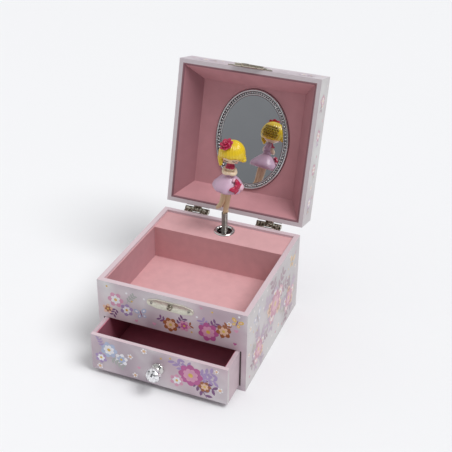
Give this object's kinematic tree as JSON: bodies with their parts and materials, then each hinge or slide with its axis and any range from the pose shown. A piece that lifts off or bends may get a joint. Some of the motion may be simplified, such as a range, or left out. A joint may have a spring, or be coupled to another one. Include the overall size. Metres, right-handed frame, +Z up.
{
  "type": "ballerina jewellery box",
  "caption": "Papered wooden jewellery box with an open mirror lid, a rose-lined tray, a small drawer with a crystal knob and a dancer turned by a wind-up movement",
  "frame": {"origin": "on the table under the middle of the case", "axes": "+X right, the front with the drawer faces -Y, +Z up"},
  "size_m": [0.12, 0.2132, 0.1975],
  "materials": {
    "printed_board": "board wrapped in glossy pastel printed paper",
    "plain_board": "pulp board covered with plain rose paper",
    "rose_lining": "matte rose lining",
    "nickel": "bright nickel plate",
    "pale_gilt": "pale gilt stamped metal",
    "frame_metal": "plain sheet and cast metal",
    "brass": "turned brass",
    "silver_moulding": "silvered plastic moulding",
    "mirror": "silvered",
    "crystal": "clear faceted",
    "cream_plastic": "painted, soft gloss",
    "lilac_plastic": "painted, soft gloss",
    "yellow_plastic": "painted gloss",
    "crimson_plastic": "painted gloss"
  },
  "bodies": {
    "case": {"left_wall": "printed_board", "right_wall": "printed_board", "back_wall": "printed_board", "bottom_board": "printed_board", "front_panel": "printed_board", "tray_floor": "plain_board", "partition": "plain_board", "shelf": "rose_lining", "tray_lining": "rose_lining", "drawer_runners": "plain_board", "grommet": "nickel", "lock_plate": "pale_gilt", "lock_stud": "nickel", "lock_pins": "pale_gilt", "hinge_case_leaves": "pale_gilt", "hinge_pins": "pale_gilt", "movement_frame": "nickel", "spring_barrel": "frame_metal", "comb": "nickel", "comb_base": "frame_metal", "comb_screws": "nickel"},
    "lid": {"lid_top": "printed_board", "lid_left_wall": "printed_board", "lid_right_wall": "printed_board", "lid_front_wall": "printed_board", "lid_back_wall": "printed_board", "lid_lining": "rose_lining", "mirror_frame": "silver_moulding", "mirror_glass": "mirror", "hinge_lid_leaves": "pale_gilt", "clasp_plate": "pale_gilt", "clasp_pins": "pale_gilt"},
    "clasp": {"clasp_flap": "pale_gilt"},
    "drawer": {"drawer_front": "printed_board", "drawer_left": "plain_board", "drawer_right": "plain_board", "drawer_back": "plain_board", "drawer_floor": "plain_board", "drawer_lining": "rose_lining", "knob_base": "nickel", "knob_crystal": "crystal"},
    "winding": {"great_wheel": "brass", "winding_arbor": "nickel", "winding_key": "nickel"},
    "cylinder": {"cylinder": "brass", "cylinder_arbor": "nickel"},
    "spindle": {"dancer_spindle": "nickel"},
    "governor": {"governor_arbor": "nickel", "governor_fly": "frame_metal"},
    "stem": {"dancer_spring": "nickel"},
    "dancer": {"figure_legs": "cream_plastic", "figure_skirt": "lilac_plastic", "figure_bodice": "lilac_plastic", "figure_arms": "cream_plastic", "figure_collar": "crimson_plastic", "figure_head": "cream_plastic", "figure_hair": "yellow_plastic", "figure_flower": "crimson_plastic", "figure_bow": "crimson_plastic"}
  },
  "joints": [
    {"name": "lid_hinge", "type": "hinge", "parent": "case", "child": "lid", "pos_m": [0, 0.0636, 0.0697], "axis": [1, 0, 0], "range_deg": [0, 104.4]},
    {"name": "clasp_hinge", "type": "hinge", "parent": "lid", "child": "clasp", "pos_m": [0, 0.09434, 0.19096], "axis": [-1, 0, 0], "range_deg": [-10, 80]},
    {"name": "drawer_slide", "type": "slide", "parent": "case", "child": "drawer", "axis": [0, -1, 0], "range_m": [-0.023, 0.037]},
    {"name": "cylinder_turn", "type": "hinge", "parent": "case", "child": "cylinder", "pos_m": [-0.016, 0.04254, 0.04], "axis": [0, 0, 1], "continuous": true},
    {"name": "winding_turn", "type": "hinge", "parent": "case", "child": "winding", "pos_m": [-0.016, 0.05, 0.02], "axis": [0, 1, 0], "continuous": true},
    {"name": "spindle_turn", "type": "hinge", "parent": "case", "child": "spindle", "pos_m": [0, 0.0452, 0.06], "axis": [0, 0, 1], "continuous": true},
    {"name": "governor_turn", "type": "hinge", "parent": "case", "child": "governor", "pos_m": [0.01217, 0.0452, 0.045], "axis": [0, 0, 1], "continuous": true},
    {"name": "dancer_fold", "type": "hinge", "parent": "case", "child": "stem", "pos_m": [0, 0.0452, 0.0705], "axis": [1, 0, 0], "range_deg": [0, 92.01], "deforming": ["dancer_spring"]},
    {"name": "dancer_spin", "type": "hinge", "parent": "stem", "child": "dancer", "pos_m": [0, 0.0452, 0.0841], "axis": [0, 0, 1], "continuous": true}
  ],
  "couplings": [
    {"joint": "winding_turn", "follows": "cylinder_turn", "ratio": -0.33333},
    {"joint": "spindle_turn", "follows": "cylinder_turn", "ratio": -1},
    {"joint": "governor_turn", "follows": "cylinder_turn", "ratio": 2},
    {"joint": "dancer_spin", "follows": "cylinder_turn", "ratio": -1},
    {"joint": "dancer_fold", "follows": "lid_hinge", "ratio": 0.88123}
  ]
}
